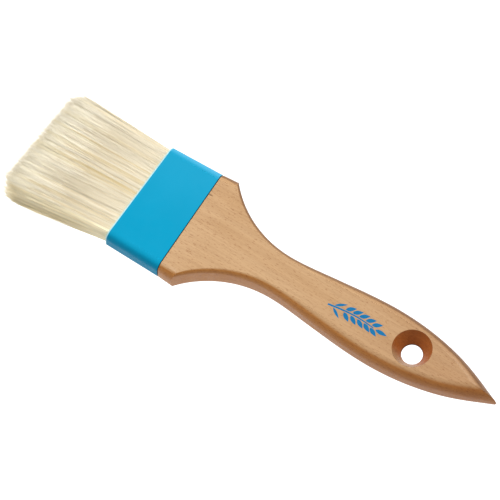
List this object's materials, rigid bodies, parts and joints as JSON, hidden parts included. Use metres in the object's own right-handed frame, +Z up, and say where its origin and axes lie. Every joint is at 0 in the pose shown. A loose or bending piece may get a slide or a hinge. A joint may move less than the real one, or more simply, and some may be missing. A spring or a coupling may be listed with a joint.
{
  "type": "pastry brush",
  "caption": "Flat pastry brush: pale bristles set in a blue plastic ferrule on a pointed beech handle with a countersunk hanging hole.",
  "frame": {"origin": "on the flat underside of the handle, on the brush's centre line, halfway along its length", "axes": "+X along the brush from the bristles towards the pointed handle tip, +Y across its width, +Z up through its thickness as it lies on a table"},
  "size_m": [0.225, 0.0538, 0.013],
  "materials": {
    "beech": "thin clear satin lacquer over fine-flecked beech",
    "ferrule_plastic": "satin moulded sky-blue plastic",
    "plug_wood": "raw sawn",
    "resin": "cast amber resin",
    "bristle": "natural cream hog bristle with golden strands"
  },
  "bodies": {
    "grip": {"handle": "beech", "ferrule": "ferrule_plastic", "spacer_plug": "plug_wood", "resin_set": "resin", "bristle_roots_upper": "bristle", "bristle_roots_lower": "bristle"},
    "bristles": {"bristle_row_upper": "bristle", "bristle_row_lower": "bristle"}
  },
  "joints": [
    {"name": "bristle_flex", "type": "hinge", "parent": "grip", "child": "bristles", "pos_m": [-0.0686, 0, 0.0065], "axis": [0, 1, 0], "range_deg": [-35, 35], "stiffness_Nm_per_rad": 0.25}
  ]
}
